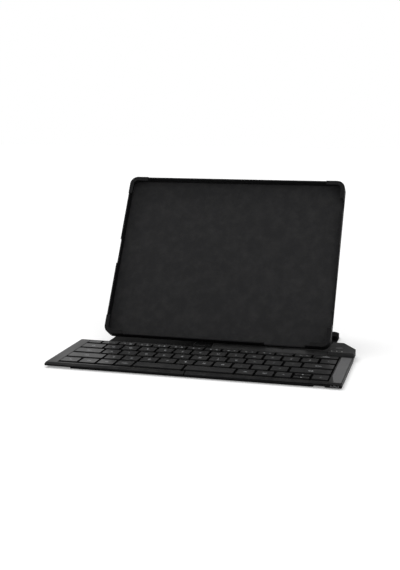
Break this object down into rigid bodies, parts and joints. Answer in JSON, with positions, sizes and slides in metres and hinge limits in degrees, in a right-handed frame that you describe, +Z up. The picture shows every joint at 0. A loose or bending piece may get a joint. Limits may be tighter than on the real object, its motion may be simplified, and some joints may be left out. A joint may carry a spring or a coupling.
{
  "type": "folding keyboard with tilting tray",
  "caption": "Folding travel keyboard: two halves swing together on a thin base, and a tray on an easel flap tilts behind the keys.",
  "frame": {"origin": "under the middle of the open object's box, on the table", "axes": "+X along the keys to the typist's right, +Y from the typist to the back, +Z up"},
  "size_m": [0.297, 0.2088, 0.1752],
  "materials": {
    "bare_steel": "plain zinc-plated steel",
    "battery_foil": "foil pouch",
    "black_metal": "satin black powder coat",
    "black_plastic": "fine matte moulded black",
    "board": "solder mask",
    "bush_plastic": "natural acetal",
    "charcoal_plastic": "satin dark grey, fine spark texture",
    "circuit_film": "printed clear film",
    "dome_rubber": "matte black silicone",
    "grey_panel": "matte mid grey",
    "keycap_plastic": "matte black with a soft-touch top",
    "lens": "clear light pipe",
    "lining": "short-nap lining",
    "rubber": "matte",
    "tray_plastic": "matte black, fine texture"
  },
  "bodies": {
    "base": {"base_plate": "black_metal", "front_skid": "black_plastic", "rear_beam": "black_plastic", "base_feet": "rubber", "beam_screws": "bare_steel", "lower_hinge_pin": "bare_steel"},
    "carriage": {"carriage_plate": "bare_steel", "slide_shoe": "bare_steel", "pivot_pins": "bare_steel"},
    "left_half": {"left_bottom_cover": "black_plastic", "left_frame": "charcoal_plastic", "left_key_plate": "bare_steel", "left_dome_mat": "dome_rubber", "left_circuit": "circuit_film", "left_pivot_bush": "bush_plastic", "left_guide_pin": "bare_steel", "left_screws": "bare_steel"},
    "right_half": {"right_bottom_cover": "black_plastic", "right_frame": "charcoal_plastic", "right_key_plate": "bare_steel", "right_dome_mat": "dome_rubber", "right_circuit": "circuit_film", "right_pivot_bush": "bush_plastic", "right_guide_pin": "bare_steel", "right_screws": "bare_steel", "ledge_cover": "charcoal_plastic", "end_panel": "grey_panel", "main_board": "board", "battery": "battery_foil", "usb_socket": "bare_steel", "status_lights": "lens"},
    "connect_button": {"connect_button": "charcoal_plastic"},
    "flap": {"flap_plate": "black_metal", "upper_hinge_pin": "bare_steel"},
    "tray": {"tray_shell": "tray_plastic", "tray_lining": "lining", "tray_hinge_bar": "black_metal", "hinge_bar_screws": "bare_steel"},
    "number_keys_left": {"number_keys_left": "keycap_plastic"},
    "tab_key": {"tab_key": "keycap_plastic"},
    "upper_letter_keys_left": {"upper_letter_keys_left": "keycap_plastic"},
    "caps_lock_key": {"caps_lock_key": "keycap_plastic"},
    "middle_letter_keys_left": {"middle_letter_keys_left": "keycap_plastic"},
    "left_shift_key": {"left_shift_key": "keycap_plastic"},
    "lower_letter_keys_left": {"lower_letter_keys_left": "keycap_plastic"},
    "left_modifier_keys": {"left_modifier_keys": "keycap_plastic"},
    "left_space_key": {"left_space_key": "keycap_plastic"},
    "number_keys_right": {"number_keys_right": "keycap_plastic"},
    "backspace_key": {"backspace_key": "keycap_plastic"},
    "upper_letter_keys_right": {"upper_letter_keys_right": "keycap_plastic"},
    "backslash_key": {"backslash_key": "keycap_plastic"},
    "middle_letter_keys_right": {"middle_letter_keys_right": "keycap_plastic"},
    "enter_key": {"enter_key": "keycap_plastic"},
    "lower_letter_keys_right": {"lower_letter_keys_right": "keycap_plastic"},
    "right_shift_key": {"right_shift_key": "keycap_plastic"},
    "right_space_key": {"right_space_key": "keycap_plastic"},
    "right_modifier_keys": {"right_modifier_keys": "keycap_plastic"},
    "left_arrow_key": {"left_arrow_key": "keycap_plastic"},
    "up_down_keys": {"up_down_keys": "keycap_plastic"},
    "right_arrow_key": {"right_arrow_key": "keycap_plastic"}
  },
  "joints": [
    {"name": "keyboard_slide", "type": "slide", "parent": "base", "child": "carriage", "axis": [0, -1, 0], "range_m": [0, 0.082]},
    {"name": "left_swing", "type": "hinge", "parent": "carriage", "child": "left_half", "pos_m": [-0.012, 0.00358, 0.004], "axis": [0, 0, -1], "range_deg": [0, 90]},
    {"name": "right_swing", "type": "hinge", "parent": "carriage", "child": "right_half", "pos_m": [0.012, 0.00358, 0.004], "axis": [0, 0, 1], "range_deg": [0, 90]},
    {"name": "stand_fold", "type": "hinge", "parent": "base", "child": "flap", "pos_m": [0, 0.07758, 0.0104], "axis": [1, 0, 0], "range_deg": [0, 77.3]},
    {"name": "tray_tilt", "type": "hinge", "parent": "flap", "child": "tray", "pos_m": [0, 0.05947, 0.09078], "axis": [-1, 0, 0], "range_deg": [0, 135.6]},
    {"name": "connect_button_press", "type": "slide", "parent": "right_half", "child": "connect_button", "axis": [0, 0, -1], "range_m": [0, 0.0005], "stiffness_N_per_m": 800},
    {"name": "number_keys_left_press", "type": "slide", "parent": "left_half", "child": "number_keys_left", "axis": [0, 0, -1], "range_m": [0, 0.0011], "stiffness_N_per_m": 300, "deforming": ["left_dome_mat"]},
    {"name": "tab_key_press", "type": "slide", "parent": "left_half", "child": "tab_key", "axis": [0, 0, -1], "range_m": [0, 0.0011], "stiffness_N_per_m": 300, "deforming": ["left_dome_mat"]},
    {"name": "upper_letter_keys_left_press", "type": "slide", "parent": "left_half", "child": "upper_letter_keys_left", "axis": [0, 0, -1], "range_m": [0, 0.0011], "stiffness_N_per_m": 300, "deforming": ["left_dome_mat"]},
    {"name": "caps_lock_key_press", "type": "slide", "parent": "left_half", "child": "caps_lock_key", "axis": [0, 0, -1], "range_m": [0, 0.0011], "stiffness_N_per_m": 300, "deforming": ["left_dome_mat"]},
    {"name": "middle_letter_keys_left_press", "type": "slide", "parent": "left_half", "child": "middle_letter_keys_left", "axis": [0, 0, -1], "range_m": [0, 0.0011], "stiffness_N_per_m": 300, "deforming": ["left_dome_mat"]},
    {"name": "left_shift_key_press", "type": "slide", "parent": "left_half", "child": "left_shift_key", "axis": [0, 0, -1], "range_m": [0, 0.0011], "stiffness_N_per_m": 300, "deforming": ["left_dome_mat"]},
    {"name": "lower_letter_keys_left_press", "type": "slide", "parent": "left_half", "child": "lower_letter_keys_left", "axis": [0, 0, -1], "range_m": [0, 0.0011], "stiffness_N_per_m": 300, "deforming": ["left_dome_mat"]},
    {"name": "left_modifier_keys_press", "type": "slide", "parent": "left_half", "child": "left_modifier_keys", "axis": [0, 0, -1], "range_m": [0, 0.0011], "stiffness_N_per_m": 300, "deforming": ["left_dome_mat"]},
    {"name": "left_space_key_press", "type": "slide", "parent": "left_half", "child": "left_space_key", "axis": [0, 0, -1], "range_m": [0, 0.0011], "stiffness_N_per_m": 300, "deforming": ["left_dome_mat"]},
    {"name": "number_keys_right_press", "type": "slide", "parent": "right_half", "child": "number_keys_right", "axis": [0, 0, -1], "range_m": [0, 0.0011], "stiffness_N_per_m": 300, "deforming": ["right_dome_mat"]},
    {"name": "backspace_key_press", "type": "slide", "parent": "right_half", "child": "backspace_key", "axis": [0, 0, -1], "range_m": [0, 0.0011], "stiffness_N_per_m": 300, "deforming": ["right_dome_mat"]},
    {"name": "upper_letter_keys_right_press", "type": "slide", "parent": "right_half", "child": "upper_letter_keys_right", "axis": [0, 0, -1], "range_m": [0, 0.0011], "stiffness_N_per_m": 300, "deforming": ["right_dome_mat"]},
    {"name": "backslash_key_press", "type": "slide", "parent": "right_half", "child": "backslash_key", "axis": [0, 0, -1], "range_m": [0, 0.0011], "stiffness_N_per_m": 300, "deforming": ["right_dome_mat"]},
    {"name": "middle_letter_keys_right_press", "type": "slide", "parent": "right_half", "child": "middle_letter_keys_right", "axis": [0, 0, -1], "range_m": [0, 0.0011], "stiffness_N_per_m": 300, "deforming": ["right_dome_mat"]},
    {"name": "enter_key_press", "type": "slide", "parent": "right_half", "child": "enter_key", "axis": [0, 0, -1], "range_m": [0, 0.0011], "stiffness_N_per_m": 300, "deforming": ["right_dome_mat"]},
    {"name": "lower_letter_keys_right_press", "type": "slide", "parent": "right_half", "child": "lower_letter_keys_right", "axis": [0, 0, -1], "range_m": [0, 0.0011], "stiffness_N_per_m": 300, "deforming": ["right_dome_mat"]},
    {"name": "right_shift_key_press", "type": "slide", "parent": "right_half", "child": "right_shift_key", "axis": [0, 0, -1], "range_m": [0, 0.0011], "stiffness_N_per_m": 300, "deforming": ["right_dome_mat"]},
    {"name": "right_space_key_press", "type": "slide", "parent": "right_half", "child": "right_space_key", "axis": [0, 0, -1], "range_m": [0, 0.0011], "stiffness_N_per_m": 300, "deforming": ["right_dome_mat"]},
    {"name": "right_modifier_keys_press", "type": "slide", "parent": "right_half", "child": "right_modifier_keys", "axis": [0, 0, -1], "range_m": [0, 0.0011], "stiffness_N_per_m": 300, "deforming": ["right_dome_mat"]},
    {"name": "left_arrow_key_press", "type": "slide", "parent": "right_half", "child": "left_arrow_key", "axis": [0, 0, -1], "range_m": [0, 0.0011], "stiffness_N_per_m": 300, "deforming": ["right_dome_mat"]},
    {"name": "up_down_keys_press", "type": "slide", "parent": "right_half", "child": "up_down_keys", "axis": [0, 0, -1], "range_m": [0, 0.0011], "stiffness_N_per_m": 300, "deforming": ["right_dome_mat"]},
    {"name": "right_arrow_key_press", "type": "slide", "parent": "right_half", "child": "right_arrow_key", "axis": [0, 0, -1], "range_m": [0, 0.0011], "stiffness_N_per_m": 300, "deforming": ["right_dome_mat"]}
  ],
  "couplings": [
    {"joint": "left_swing", "follows": "keyboard_slide", "rad_per_m": 19.155},
    {"joint": "right_swing", "follows": "keyboard_slide", "rad_per_m": 19.155},
    {"joint": "tray_tilt", "follows": "stand_fold", "ratio": 1.7542}
  ]
}
